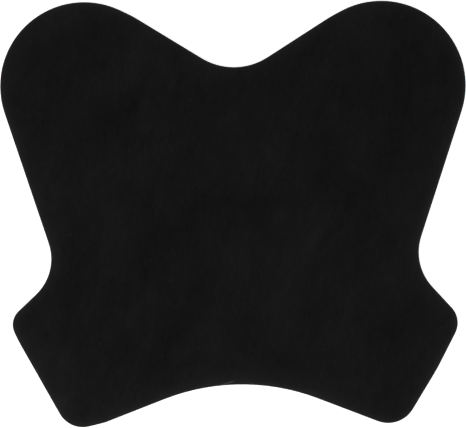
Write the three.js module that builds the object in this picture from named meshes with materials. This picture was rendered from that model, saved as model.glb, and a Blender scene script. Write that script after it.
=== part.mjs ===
// Thumb protector: one soft flat pad, die-cut in a single piece from a foam sheet with napped cloth faces.
// Millimetres, +Z up. The pad lies on its back, and the origin is under the middle of its box.
import * as THREE from "three";

// Driving dimensions
const PAD_THICKNESS = 3;
const ROLL_DROP = 0.9; // how far the face falls at the rim, where the cutting die pressed it down
const ROLL_REACH = 3.2; // how far in from the rim that fall begins
const ROLL_STEPS = 6;
const WALL_HOLLOW = 0.12; // how far the cut foam draws in between its two cloth faces
const HOLLOW_FROM = 0.3; // the stretch of the wall that is drawn in, as shares of the thickness
const HOLLOW_TO = 0.5;
const BACK_ROUND = 0.15; // the small round left on the back edge
const ARC_TOLERANCE = 0.015; // the most that a chord may cut off a round

// The outline is a belt run round circles and straight between them, anticlockwise from the top middle.
// A bulge is a circle inside the pad and a dip is one outside it. Centres are from the middle of the pad.
// Shoulders, shins and the toe only bend the belt by a few degrees.
const BULGE = 1;
const DIP = -1;
const ROUNDS = [
  { name: "notch", side: DIP, x: 0.2, y: 44.8, radius: 13.2 },
  { name: "left shoulder", side: BULGE, x: -30.1, y: 26.7, radius: 18.0 },
  { name: "left ear", side: BULGE, x: -32.0, y: 27.5, radius: 18.1 },
  { name: "left waist", side: DIP, x: -49.6, y: -9.7, radius: 10.5 },
  { name: "left hip", side: BULGE, x: -43.4, y: -23.8, radius: 4.0 },
  { name: "left shin", side: BULGE, x: -23.9, y: -15.9, radius: 25.0 },
  { name: "left heel", side: BULGE, x: -32.3, y: -40.2, radius: 5.7 },
  { name: "left toe", side: BULGE, x: -29.0, y: -40.1, radius: 5.0 },
  { name: "hem", side: DIP, x: 2.0, y: -82.6, radius: 45.9 },
  { name: "right heel", side: BULGE, x: 33.4, y: -38.8, radius: 6.2 },
  { name: "right shin", side: BULGE, x: 9.0, y: -13.8, radius: 40.0 },
  { name: "right hip", side: BULGE, x: 43.6, y: -23.4, radius: 4.8 },
  { name: "right waist", side: DIP, x: 50.9, y: -8.2, radius: 10.9 },
  { name: "right ear", side: BULGE, x: 31.9, y: 27.7, radius: 18.2 },
  { name: "right shoulder", side: BULGE, x: 30.0, y: 26.9, radius: 18.0 },
];

// The edge from back to face: how high each level lies, and how far inside the outline.
const EDGE_PROFILE = [
  { level: "back edge", height: 0, inset: BACK_ROUND },
  { level: "back lip", height: BACK_ROUND, inset: 0 },
  { level: "hollow, lower", height: PAD_THICKNESS * HOLLOW_FROM, inset: WALL_HOLLOW },
  { level: "hollow, upper", height: PAD_THICKNESS * HOLLOW_TO, inset: WALL_HOLLOW },
  { level: "face lip", height: PAD_THICKNESS - ROLL_DROP, inset: 0 },
  ...rolledRim(),
];

const nappedCloth = new THREE.MeshStandardMaterial({ color: 0x151515, roughness: 0.95, metalness: 0 });

// The quarter ellipse by which the face falls away to its lip.
function rolledRim() {
  const levels = [];
  for (let step = 1; step <= ROLL_STEPS; step++) {
    const angle = (step / ROLL_STEPS) * (Math.PI / 2);
    levels.push({
      level: `roll ${step}`,
      height: PAD_THICKNESS - ROLL_DROP * (1 - Math.sin(angle)),
      inset: ROLL_REACH * (1 - Math.cos(angle)),
    });
  }
  return levels;
}

// Which way the belt runs along its straight from one round to the next, as an angle.
function heading(from, to) {
  const along = new THREE.Vector2(to.x - from.x, to.y - from.y);
  const lean = (to.side * to.radius - from.side * from.radius) / along.length();
  return along.angle() - Math.asin(lean);
}

// The belt's points, moved in from the outline by the inset: bulges shrink, dips grow and the straights keep
// their headings, so every inset has its points in the same order.
function outline(inset) {
  return ROUNDS.flatMap((round, i) => {
    const before = ROUNDS.at(i - 1);
    const after = ROUNDS[(i + 1) % ROUNDS.length];
    const quarter = (round.side * Math.PI) / 2;
    const radius = round.radius - round.side * inset;
    const start = heading(before, round) - quarter;
    const end = heading(round, after) - quarter;
    const arc = new THREE.EllipseCurve(round.x, round.y, radius, radius, start, end, round.side === DIP);
    return arc.getPoints(arcSteps(round, start, end));
  });
}

// How many chords a round takes to stay within the tolerance.
function arcSteps(round, start, end) {
  const turn = THREE.MathUtils.euclideanModulo(round.side * (end - start), 2 * Math.PI);
  return Math.ceil(turn / (2 * Math.acos(1 - ARC_TOLERANCE / round.radius)));
}

// A closed solid through rings of equally many points, each ring at its own height, from the lowest up.
function loft(rings, heights) {
  const count = rings[0].length;
  const positions = rings.flatMap((ring, i) => ring.flatMap((p) => [p.x, p.y, heights[i]]));
  const faces = [];
  for (let i = 0; i + 1 < rings.length; i++) {
    for (let k = 0; k < count; k++) {
      const low = i * count + k;
      const lowNext = i * count + ((k + 1) % count);
      faces.push(low, lowNext, lowNext + count, low, lowNext + count, low + count);
    }
  }
  const top = (rings.length - 1) * count;
  for (const [a, b, c] of THREE.ShapeUtils.triangulateShape(rings[0], [])) {
    faces.push(a, c, b);
  }
  for (const [a, b, c] of THREE.ShapeUtils.triangulateShape(rings.at(-1), [])) {
    faces.push(top + a, top + b, top + c);
  }
  const solid = new THREE.BufferGeometry();
  solid.setAttribute("position", new THREE.Float32BufferAttribute(positions, 3));
  solid.setIndex(faces);
  solid.computeVertexNormals();
  return solid;
}

function makePad() {
  const rings = EDGE_PROFILE.map((row) => outline(row.inset));
  const heights = EDGE_PROFILE.map((row) => row.height);
  const pad = new THREE.Mesh(loft(rings, heights), nappedCloth);
  pad.name = "pad";
  const middle = new THREE.Box2().setFromPoints(outline(0)).getCenter(new THREE.Vector2());
  pad.position.set(-middle.x, -middle.y, 0);
  return pad;
}

const thumbProtector = new THREE.Group();
thumbProtector.add(makePad());

export default thumbProtector;
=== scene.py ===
import math
import bpy
import numpy as np
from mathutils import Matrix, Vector, kdtree, noise
from mathutils.geometry import delaunay_2d_cdt


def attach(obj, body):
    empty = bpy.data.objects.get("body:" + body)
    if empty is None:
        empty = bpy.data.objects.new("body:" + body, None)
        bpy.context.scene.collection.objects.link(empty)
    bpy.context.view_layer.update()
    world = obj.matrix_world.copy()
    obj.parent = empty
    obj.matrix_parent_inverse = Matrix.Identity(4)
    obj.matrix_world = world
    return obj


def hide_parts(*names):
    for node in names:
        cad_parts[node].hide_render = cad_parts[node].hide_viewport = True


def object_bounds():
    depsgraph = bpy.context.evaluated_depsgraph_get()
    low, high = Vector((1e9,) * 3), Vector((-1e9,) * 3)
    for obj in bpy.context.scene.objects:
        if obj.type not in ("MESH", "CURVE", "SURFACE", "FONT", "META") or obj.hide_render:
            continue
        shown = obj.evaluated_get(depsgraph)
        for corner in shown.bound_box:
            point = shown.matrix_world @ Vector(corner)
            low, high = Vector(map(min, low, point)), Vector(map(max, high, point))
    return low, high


# a thumb protector: one soft black pad, die-cut from brushed cloth on foam rubber,
# lying flat on a white table
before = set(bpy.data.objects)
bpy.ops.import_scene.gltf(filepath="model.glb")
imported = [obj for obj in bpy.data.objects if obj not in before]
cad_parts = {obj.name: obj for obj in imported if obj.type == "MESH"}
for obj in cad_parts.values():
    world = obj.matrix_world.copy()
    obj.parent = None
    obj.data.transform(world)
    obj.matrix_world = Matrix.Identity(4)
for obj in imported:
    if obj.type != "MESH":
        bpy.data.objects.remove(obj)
cadLow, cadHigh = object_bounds()
mm = 0.001  # every size below is in millimetres
thickness = cadHigh.z / mm
print("frame loaded, pad", [round(side / mm, 1) for side in cadHigh - cadLow], "mm")


def linear(hexColour):
    channels = [int(hexColour[i:i + 2], 16) / 255 for i in (1, 3, 5)]
    return [c / 12.92 if c <= 0.04045 else ((c + 0.055) / 1.055) ** 2.4 for c in channels] + [1.0]


# links holds what goes into each input, by its name or number: another node's output, or a value
def addNode(tree, kind, links=None, **settings):
    node = tree.nodes.new(kind)
    for name, value in settings.items():
        setattr(node, name, value)
    for socket, source in (links or {}).items():
        if isinstance(source, bpy.types.NodeSocket):
            tree.links.new(source, node.inputs[socket])
        else:
            node.inputs[socket].default_value = source
    return node


def startMaterial(name):
    material = bpy.data.materials.new(name)
    material.use_nodes = True
    material.node_tree.nodes.clear()
    return material, material.node_tree


def addToScene(name, data):
    thing = bpy.data.objects.new(name, data)
    bpy.context.scene.collection.objects.link(thing)
    return thing


# brushed polyester knit, dyed black: the raised fibres lie along the pad, so the eye gets a dead
# matt black with faint streaks along the nap, soft clouds where it was stroked, and a grey bloom
# where it turns away
napLook = {
    "darkest": "#0d0d0d", "lightest": "#2f2e2e",
    "wornAndRimHighlight": "#5e5d5d",  # painted highlight along the rim, rubbed fibres in pills, and torn ones in the nick
    "layers": [  # size across and along the nap, share of the tone, and how high it stands
        {"what": "clouds", "width": 11, "length": 15, "tone": 0.75, "rise": 0},
        {"what": "partings", "width": 2.2, "length": 7, "tone": 0.3, "rise": 0.06},
        {"what": "streaks", "width": 0.8, "length": 3.2, "tone": 0.25, "rise": 0.08},
        {"what": "locks", "width": 0.35, "length": 1.8, "tone": 0.3, "rise": 0.08},
        {"what": "fibres", "width": 0.14, "length": 1.4, "tone": 0.85, "rise": 0.06},
    ],  # fibres are drawn as bundles, coarser than they are, so that they show
    "swirl": 5, "swirlShift": 1.1,  # the nap meanders: how large its swirls are, and how far they carry it
    "finer": 2.5, "finerShare": 0.65,  # each layer's own finer noise: octaves, and how strong they are
    "napLean": -14,  # degrees that the nap leans off the pad's own middle line
    "pillSpacing": 13, "pillRadius": 0.45,  # small balls of rubbed-up fibre
    "pillWear": 0.09, "pillRise": 0.03,
    "roughness": 0.92, "ior": 1.58,
    "specular": 0.03,  # loose fibres give next to no gloss
    "sheen": 0.2, "sheenRoughness": 0.4, "sheenTint": "#d8d6d7",
}


def brushedPolyesterKnit(look):
    material, tree = startMaterial("brushedPolyesterKnit")
    place = addNode(tree, "ShaderNodeTexCoord").outputs["Object"]
    lean = (0, 0, math.radians(look["napLean"]))
    middle = 0.5  # each noise swings about this
    swirl = addNode(tree, "ShaderNodeTexNoise", {
        "Vector": place, "Scale": 1 / (look["swirl"] * mm), "Detail": 0.0}).outputs["Color"]
    swirl = addNode(tree, "ShaderNodeVectorMath", {
        0: swirl, 1: [middle] * 3}, operation="SUBTRACT").outputs[0]
    combed = addNode(tree, "ShaderNodeVectorMath", {
        0: swirl, 1: [look["swirlShift"] * mm] * 3, 2: place}, operation="MULTIPLY_ADD").outputs[0]
    tone, rise = middle, 0.0
    for layer in look["layers"]:
        grain = Vector((layer["width"], layer["length"], layer["width"])) * mm
        laid = addNode(tree, "ShaderNodeMapping", {
            "Vector": combed, "Rotation": lean, "Scale": grain}, vector_type="TEXTURE").outputs["Vector"]
        fibres = addNode(tree, "ShaderNodeTexNoise", {
            "Vector": laid, "Scale": 1.0, "Detail": look["finer"],
            "Roughness": look["finerShare"]}).outputs["Fac"]
        swing = addNode(tree, "ShaderNodeMath", {0: fibres, 1: middle}, operation="SUBTRACT").outputs[0]
        tone = addNode(tree, "ShaderNodeMath", {
            0: swing, 1: layer["tone"], 2: tone}, operation="MULTIPLY_ADD").outputs[0]
        rise = addNode(tree, "ShaderNodeMath", {
            0: swing, 1: layer["rise"], 2: rise}, operation="MULTIPLY_ADD").outputs[0]
    dye = addNode(tree, "ShaderNodeValToRGB", {"Fac": tone})
    dye.color_ramp.elements[0].color = linear(look["darkest"])
    dye.color_ramp.elements[1].color = linear(look["lightest"])
    toPill = addNode(tree, "ShaderNodeTexVoronoi", {
        "Vector": place, "Scale": 1 / (look["pillSpacing"] * mm)},
        voronoi_dimensions="2D").outputs["Distance"]
    pills = addNode(tree, "ShaderNodeMapRange", {
        "Value": toPill, "From Min": look["pillRadius"] / look["pillSpacing"], "From Max": 0.0},
        interpolation_type="SMOOTHSTEP").outputs["Result"]
    rise = addNode(tree, "ShaderNodeMath", {
        0: pills, 1: look["pillRise"], 2: rise}, operation="MULTIPLY_ADD").outputs[0]
    # the mesh's lighter patches: painted highlight along the rim, and torn fibres in the nick
    rimHighlightAndWear = addNode(tree, "ShaderNodeAttribute", attribute_name="wearAndRimHighlight").outputs["Fac"]
    wearAndRimHighlight = addNode(tree, "ShaderNodeMath", {
        0: pills, 1: look["pillWear"], 2: rimHighlightAndWear}, operation="MULTIPLY_ADD", use_clamp=True).outputs[0]
    colour = addNode(tree, "ShaderNodeMix", {  # 0 is the share, 6 and 7 the two colours
        0: wearAndRimHighlight, 6: dye.outputs["Color"], 7: linear(look["wornAndRimHighlight"])}, data_type="RGBA").outputs[2]
    bump = addNode(tree, "ShaderNodeBump", {"Height": rise, "Distance": mm})
    surface = addNode(tree, "ShaderNodeBsdfPrincipled", {
        "Base Color": colour, "Normal": bump.outputs["Normal"],
        "Roughness": look["roughness"], "IOR": look["ior"], "Specular IOR Level": look["specular"],
        "Sheen Weight": look["sheen"], "Sheen Roughness": look["sheenRoughness"],
        "Sheen Tint": linear(look["sheenTint"])})
    addNode(tree, "ShaderNodeOutputMaterial", {"Surface": surface.outputs["BSDF"]})
    return material


# foam rubber, die-cut: the blade opens its cells, so the wall is a dull dark grey, pitted all over, with
# painted shade in each pit
foamLook = {
    "skin": "#3c3b3b", "pitShade": "#0e0e0e",
    "cell": 0.42, "cellWall": 0.8,  # true cells are about half that; the wall is a share of the cell
    "bumpHeight": 0.12,
    "roughness": 0.85, "ior": 1.55, "specular": 0.08,
}


def cutFoamRubber(look):
    material, tree = startMaterial("cutFoamRubber")
    place = addNode(tree, "ShaderNodeTexCoord").outputs["Object"]
    cells = addNode(tree, "ShaderNodeTexVoronoi", {
        "Vector": place, "Scale": 1 / (look["cell"] * mm)}).outputs["Distance"]
    dye = addNode(tree, "ShaderNodeValToRGB", {"Fac": cells})
    # painted shade: each cell darkens towards its middle, where the bump makes its hollow
    dye.color_ramp.elements[0].color = linear(look["pitShade"])
    dye.color_ramp.elements[1].color = linear(look["skin"])
    dye.color_ramp.elements[1].position = look["cellWall"]
    bump = addNode(tree, "ShaderNodeBump", {"Height": cells, "Distance": look["bumpHeight"] * mm})
    surface = addNode(tree, "ShaderNodeBsdfPrincipled", {
        "Base Color": dye.outputs["Color"], "Normal": bump.outputs["Normal"],
        "Roughness": look["roughness"], "IOR": look["ior"], "Specular IOR Level": look["specular"]})
    addNode(tree, "ShaderNodeOutputMaterial", {"Surface": surface.outputs["BSDF"]})
    return material


padCut = {
    "rollDrop": 0.9, "rollReach": 3.2,  # the face falls to its rim by a quarter ellipse
    "lipRings": 6, "lipReach": 1.0,  # the rim's own rings, before the even lattice of the face
    "backRound": 0.15, "backRings": 3,
    "clothSkin": 0.4,  # what the cut shows of the cloth above and below the foam
    "skinStep": 0.08,  # how far the foam draws back where it leaves the cloth
    "skinRise": 0.03,  # the height of that step, as a share of the foam
    "wallHollow": 0.16,
    "pitDepth": 0.07, "pitSize": 0.6,
    "foamRows": 9,
    "outlineStep": 0.25, "faceStep": 0.4, "backStep": 1.6,
    "facetWidth": 0.3,  # the frame's short flats are smoothed over this length
    "creaseAngle": 50,
    "relief": [  # the pile and the sheet's own unevenness: height, and size across and along the nap
        {"what": "streaks", "height": 0.018, "width": 0.9, "length": 3.6},
        {"what": "tufts", "height": 0.018, "width": 0.8, "length": 1.2},
        {"what": "strokes", "height": 0.03, "width": 5.0, "length": 8.0},
        {"what": "waves", "height": 0.06, "width": 20.0, "length": 24.0},
    ],
    "rimHighlight": [  # a painted highlight along the rim, lightening the nap's colour: a sharp line and a wide soft band
        {"amount": 0.04, "reach": 0.8},
        {"amount": 0.09, "reach": 2.4},
    ],
    "nick": {  # a slip of the blade in the middle of the hem, where the two ends of the die meet
        "start": (-2.45, -36.92), "end": (0.0, -36.03),
        "halfWidth": 0.15, "depth": 0.3, "wearAndRimHighlight": 0.8,
        "fineStep": 0.1, "margin": 0.8,
    },
    "map": {  # how the pad is unrolled, so that textures can be baked from its patterns
        "faceScale": 0.0078, "backScale": 0.0028,  # share of the map that a millimetre takes
        "wallStrips": 5,
        "gap": 0.008,
    },
}


# the loop of frame points at the pad's lower lip, where its outline is full
def walkOutline(node):
    decimals = 3  # points are told apart by their places, rounded to this
    points = [tuple(round(c / mm, decimals) for c in vertex.co) for vertex in node.data.vertices]
    lip = min(points, key=lambda p: (-p[0], p[2]))[2]  # the lowest of the points farthest right
    nextTo = {}
    for face in node.data.polygons:
        for a, b in face.edge_keys:
            if points[a][2] == lip == points[b][2]:
                nextTo.setdefault(points[a][:2], set()).add(points[b][:2])
                nextTo.setdefault(points[b][:2], set()).add(points[a][:2])
    loop = [min(nextTo)]
    ahead = sorted(nextTo[loop[0]])[:1]
    while ahead:
        loop.append(ahead[0])
        ahead = [p for p in nextTo[loop[-1]] if p not in (loop[-2], loop[0])]
    x, y = np.array(loop).T
    anticlockwise = np.sum(x * np.roll(y, -1) - y * np.roll(x, -1)) > 0
    return np.array(loop if anticlockwise else loop[::-1])


# the same closed line, with its points at even steps
def evenly(loop, step):
    closed = np.vstack([loop, loop[:1]])
    along = np.concatenate([[0], np.cumsum(np.hypot(*np.diff(closed, axis=0).T))])
    stops = np.linspace(0, along[-1], round(along[-1] / step), endpoint=False)
    return np.column_stack([np.interp(stops, along, closed[:, i]) for i in (0, 1)])


# each point becomes the bell-weighted mean of its neighbours
def smoothed(loop, width):
    stepsPerWidth, widths = 6, 3
    fine = evenly(loop, width / stepsPerWidth)
    reach = np.arange(-widths * stepsPerWidth, widths * stepsPerWidth + 1)
    weights = np.exp(-0.5 * (reach / stepsPerWidth) ** 2)
    return sum(w * np.roll(fine, r, axis=0) for r, w in zip(reach, weights)) / weights.sum()


# the outline's points, the way inward at each, and a tree that finds the nearest of them
def readOutline(cut):
    loop = evenly(smoothed(walkOutline(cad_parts["pad"]), cut["facetWidth"]), cut["outlineStep"])
    along = np.roll(loop, -1, axis=0) - np.roll(loop, 1, axis=0)
    along /= np.linalg.norm(along, axis=1)[:, None]
    inward = np.column_stack([-along[:, 1], along[:, 0]])
    tree = kdtree.KDTree(len(loop))
    for i, point in enumerate(loop):
        tree.insert((*point, 0), i)
    tree.balance()
    print("outline walked,", len(loop), "points")
    return loop, inward, tree


# how far inside the outline each point lies
def insetsOf(points, outline):
    loop, inward, tree = outline
    nearest = [tree.find((*point, 0))[1] for point in points]
    return np.sum((points - loop[nearest]) * inward[nearest], axis=1)


# how high the face lies: flat, and falling to its lip near the outline
def faceHeight(inset, cut):
    lean = np.clip(1 - np.asarray(inset) / cut["rollReach"], 0, 1)
    return thickness - cut["rollDrop"] * (1 - np.sqrt(1 - lean ** 2))


# the edge's rows from the back up: height, inset, and whether the row is bare foam
def edgeRows(cut):
    lip = thickness - cut["rollDrop"]
    foamLow, foamHigh = cut["clothSkin"], lip - cut["clothSkin"]
    rows = []
    for angle in np.linspace(math.pi / 2, 0, cut["backRings"] + 1):
        height = cut["backRound"] * (1 - math.sin(angle))
        rows.append((height, cut["backRound"] * (1 - math.cos(angle)), False))
    rows.append((foamLow, 0, False))
    for share in np.linspace(cut["skinRise"], 1 - cut["skinRise"], cut["foamRows"]):
        hollow = cut["skinStep"] + (cut["wallHollow"] - cut["skinStep"]) * math.sin(math.pi * share)
        rows.append((foamLow + (foamHigh - foamLow) * share, hollow, True))
    rows.append((foamHigh, 0, False))
    rows.append((lip, 0, False))
    lastAngle = math.acos(1 - cut["lipReach"] / cut["rollReach"])
    for angle in np.linspace(0, lastAngle, cut["lipRings"] + 1)[1:]:
        inset = cut["rollReach"] * (1 - math.cos(angle))
        rows.append((float(faceHeight(inset, cut)), inset, False))
    return rows


# the rings of the edge, the faces between them, and which of those are foam
def makeEdge(outline, rows, cut):
    loop, inward, _ = outline
    count = len(loop)
    rings, faces, foam = [], [], []
    for r, (height, inset, bare) in enumerate(rows):
        pits = np.zeros(count)
        if bare:
            pits = np.array([noise.noise(Vector((*point, height)) / cut["pitSize"]) for point in loop])
        ring = loop + inward * (inset + cut["pitDepth"] * pits)[:, None]
        rings.append(np.column_stack([ring, np.full(count, height)]))
        for k in range(count if r else 0):  # nothing lies under the first ring
            low, lowNext = (r - 1) * count + k, (r - 1) * count + (k + 1) % count
            faces.append((low, lowNext, lowNext + count, low + count))
            foam.append(bare and rows[r - 1][2])
    return np.vstack(rings), faces, foam


# points for even triangles, with every other row moved by half a step
def lattice(step, low, high):
    rows = np.arange(low[1], high[1], step * math.sqrt(3) / 2)
    columns = np.arange(low[0], high[0], step)
    return np.array([(x + i % 2 * step / 2, y) for i, y in enumerate(rows) for x in columns])


# triangles that fill a ring through the points inside it, numbered ring first
def fill(ring, inside):
    corners = [Vector(point) for point in np.vstack([ring, inside])]
    edges = [(i, (i + 1) % len(ring)) for i in range(len(ring))]
    insideOnly, tolerance = 1, 1e-6
    _, _, triangles, origins, _, _ = delaunay_2d_cdt(corners, edges, [], insideOnly, tolerance)
    return [[origins[i][0] for i in triangle] for triangle in triangles]


# the face's points: an even lattice inside the rim, with a fine one round the nick
def facePoints(outline, cut):
    loop, nick = outline[0], cut["nick"]
    wide = lattice(cut["faceStep"], loop.min(0), loop.max(0))
    nickLow, nickHigh = np.array(nick["start"]) - nick["margin"], np.array(nick["end"]) + nick["margin"]
    fine = lattice(nick["fineStep"], nickLow, nickHigh)
    gap = cut["faceStep"] / 2  # kept clear between the lattices, and inside the rim's last ring
    clear = np.any((wide < fine.min(0) - gap) | (wide > fine.max(0) + gap), axis=1)
    points = np.vstack([wide[clear], fine])
    insets = insetsOf(points, outline)
    kept = insets > cut["lipReach"] + gap
    return np.column_stack([points, faceHeight(insets, cut)])[kept]


def backPoints(outline, cut):
    loop = outline[0]
    points = lattice(cut["backStep"], loop.min(0), loop.max(0))
    points = points[insetsOf(points, outline) > cut["backStep"] / 2]
    return np.column_stack([points, np.zeros(len(points))])


# 1 along the nick's own line, falling to 0 beside it
def nickAt(points, nick):
    start = np.array(nick["start"])
    along = np.array(nick["end"]) - start
    share = np.clip((points - start) @ along / (along @ along), 0, 1)
    away = np.linalg.norm(points - start - share[:, None] * along, axis=1)
    return np.exp(-(away / nick["halfWidth"]) ** 2)


# the relief leans as the nap does
def reliefAt(x, y, relief):
    lean = math.radians(napLook["napLean"])
    across = x * math.cos(lean) + y * math.sin(lean)
    along = y * math.cos(lean) - x * math.sin(lean)
    return sum(row["height"] * noise.noise(Vector((across / row["width"], along / row["length"], i)))
               for i, row in enumerate(relief))


# raises the nap and presses the nick into the face, and gives each point its lighter colour: torn fibres
# in the nick, painted highlight along the rim
def dressFace(places, outline, cut):
    nick = cut["nick"]
    lip = thickness - cut["rollDrop"]
    raised = np.clip((places[:, 2] - lip) / cut["rollDrop"], 0, 1)  # 0 on the wall, 1 on the flat face
    onFace = np.flatnonzero(raised)
    torn = nickAt(places[:, :2], nick) * (raised > 0)
    insets = insetsOf(places[:, :2], outline)
    places[onFace, 2] += raised[onFace] * [reliefAt(x, y, cut["relief"]) for x, y, _ in places[onFace]]
    places[:, 2] -= nick["depth"] * torn
    # painted highlight: the colour lightens towards the outline
    rimHighlightAndWear = sum(band["amount"] * np.exp(-insets / band["reach"]) for band in cut["rimHighlight"])
    return np.clip(rimHighlightAndWear + nick["wearAndRimHighlight"] * torn, 0, 1)


# the face as large as it goes, the wall cut into strips on its right, and the back above it
def layMap(mesh, rows, backFaces, cut):
    plan = cut["map"]
    corners = np.empty((len(mesh.loops), 3))
    for loop in mesh.loops:
        corners[loop.index] = mesh.vertices[loop.vertex_index].co / mm
    low, high = corners.min(0), corners.max(0)
    spots = (corners - low)[:, :2] * plan["faceScale"] + plan["gap"]
    faceRight, faceTop = (high - low)[:2] * plan["faceScale"] + 2 * plan["gap"]

    back = mesh.polygons[-backFaces].loop_start  # the back's faces come last
    turned = np.column_stack([high[0] - corners[back:, 0], corners[back:, 1] - low[1]])
    spots[back:] = turned * plan["backScale"] + [plan["gap"], faceTop]

    wallRows = len(rows) - 1 - cut["lipRings"]  # the rim's own rings stay with the face
    heights, insets = np.array([row[:2] for row in rows]).T
    climb = np.concatenate([[0], np.cumsum(np.hypot(np.diff(heights), np.diff(insets)))])
    edgeFaces = sum(len(face.vertices) == 4 for face in mesh.polygons)  # the rest are triangles
    count = edgeFaces // (len(rows) - 1)
    row, step = np.divmod(np.arange(wallRows * count), count)
    strip, step = np.divmod(step, math.ceil(count / plan["wallStrips"]))
    upWall = np.column_stack([climb[row], climb[row], climb[row + 1], climb[row + 1]])
    along = np.column_stack([step, step + 1, step + 1, step]) * cut["outlineStep"]
    stripLeft = faceRight + strip * (climb[wallRows] * plan["faceScale"] + plan["gap"])
    across = stripLeft[:, None] + (climb[wallRows] - upWall) * plan["faceScale"]
    unrolled = np.dstack([across, along * plan["faceScale"] + plan["gap"]]).reshape(-1, 2)
    spots[:len(unrolled)] = unrolled
    layer = mesh.uv_layers.new(name="OFBake")  # the map's name
    layer.uv.foreach_set("vector", spots.ravel())
    print("map laid, reaching", spots.max(0).round(3))


def makePad(cut):
    outline = readOutline(cut)
    rows = edgeRows(cut)
    edge, faces, foam = makeEdge(outline, rows, cut)
    face = facePoints(outline, cut)
    back = backPoints(outline, cut)
    count = len(outline[0])
    top = len(edge) - count
    for triangle in fill(edge[top:, :2], face[:, :2]):
        faces.append([top + i for i in triangle])
    under = len(edge) + len(face) - count  # fill numbers the ring's own points first
    backFill = fill(edge[:count, :2], back[:, :2])
    for triangle in backFill:
        faces.append([i if i < count else under + i for i in reversed(triangle)])
    print("face and back filled,", len(face), "and", len(back), "points")

    places = np.vstack([edge, face, back])
    wearAndRimHighlight = dressFace(places, outline, cut)
    mesh = bpy.data.meshes.new("pad_cloth")
    mesh.from_pydata((places * mm).tolist(), [], faces)
    mesh.materials.append(brushedPolyesterKnit(napLook))
    mesh.materials.append(cutFoamRubber(foamLook))
    slots = np.zeros(len(faces), dtype=int)
    slots[:len(foam)] = foam
    mesh.polygons.foreach_set("material_index", slots)
    mesh.polygons.foreach_set("use_smooth", [True] * len(faces))
    mesh.set_sharp_from_angle(angle=math.radians(cut["creaseAngle"]))
    mesh.attributes.new("wearAndRimHighlight", "FLOAT", "POINT").data.foreach_set("value", wearAndRimHighlight)
    layMap(mesh, rows, len(backFill), cut)
    mesh.update()
    pad = addToScene("pad_cloth", mesh)
    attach(pad, "root")
    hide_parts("pad")
    print("pad made,", sum(len(corners) - 2 for corners in faces), "triangles")


makePad(padCut)

# opal acrylic, cast and lit from inside: white all over, so that the pad has hardly a shadow
tableLook = {"colour": "#f4f4f4", "size": 6000.0, "glow": 1.03,
             "roughness": 0.8, "ior": 1.49, "specular": 0.1}


def makeTable(look):
    half = look["size"] / 2 * mm
    corners = [(-half, -half, 0), (half, -half, 0), (half, half, 0), (-half, half, 0)]
    mesh = bpy.data.meshes.new("table")
    mesh.from_pydata(corners, [], [range(len(corners))])
    material, tree = startMaterial("opalAcrylic")
    surface = addNode(tree, "ShaderNodeBsdfPrincipled", {
        "Base Color": linear(look["colour"]), "Roughness": look["roughness"],
        "IOR": look["ior"], "Specular IOR Level": look["specular"],
        "Emission Color": linear(look["colour"]), "Emission Strength": look["glow"]})
    addNode(tree, "ShaderNodeOutputMaterial", {"Surface": surface.outputs["BSDF"]})
    mesh.materials.append(material)
    addToScene("table", mesh)


makeTable(tableLook)

# a soft box near the lower left and a low one on the right, in a tent that is bright all round
# and dim overhead
softBoxes = [
    {"name": "keyBox", "place": (-125, -135, 240), "size": 200, "watts": 0.265},
    {"name": "fillBox", "place": (420, -60, 120), "size": 200, "watts": 0.22},
]
tentLight = {"horizon": "#ffffff", "overhead": "#4c4c4c", "bandTop": 0.2, "dimFrom": 0.45}


def makeLights(boxes, tent):
    for box in boxes:
        lamp = bpy.data.lights.new(box["name"], "AREA")
        lamp.size = box["size"] * mm
        lamp.energy = box["watts"]
        holder = addToScene(box["name"], lamp)
        holder.visible_camera = False
        holder.location = Vector(box["place"]) * mm
        holder.rotation_euler = (-holder.location).to_track_quat("-Z", "Y").to_euler()
    world = bpy.data.worlds.new("tent")
    world.use_nodes = True
    tree = world.node_tree
    tree.nodes.clear()
    direction = addNode(tree, "ShaderNodeTexCoord").outputs["Generated"]
    height = addNode(tree, "ShaderNodeSeparateXYZ", {"Vector": direction}).outputs["Z"]
    ramp = addNode(tree, "ShaderNodeValToRGB", {"Fac": height})
    ramp.color_ramp.elements[0].color = linear(tent["horizon"])
    ramp.color_ramp.elements[0].position = tent["bandTop"]
    ramp.color_ramp.elements[1].color = linear(tent["overhead"])
    ramp.color_ramp.elements[1].position = tent["dimFrom"]
    glow = addNode(tree, "ShaderNodeBackground", {"Color": ramp.outputs["Color"]})
    addNode(tree, "ShaderNodeOutputWorld", {"Surface": glow.outputs["Background"]})
    bpy.context.scene.world = world


makeLights(softBoxes, tentLight)

# the camera looks straight down, and the pad's lip fills the picture
cameraSetup = {"lens": 100.0, "sensor": 36.0, "pictureWidth": 100.25, "middle": (0.02, 0.0)}


def makeCamera(setup):
    lens = bpy.data.cameras.new("camera")
    lens.lens = setup["lens"]
    lens.sensor_width = setup["sensor"]
    camera = addToScene("camera", lens)
    lip = thickness - padCut["rollDrop"]
    distance = setup["pictureWidth"] * setup["lens"] / setup["sensor"]
    camera.location = Vector((*setup["middle"], lip + distance)) * mm
    bpy.context.scene.camera = camera
    bpy.context.scene.view_settings.view_transform = "Standard"


makeCamera(cameraSetup)
print("table, lights and camera set")
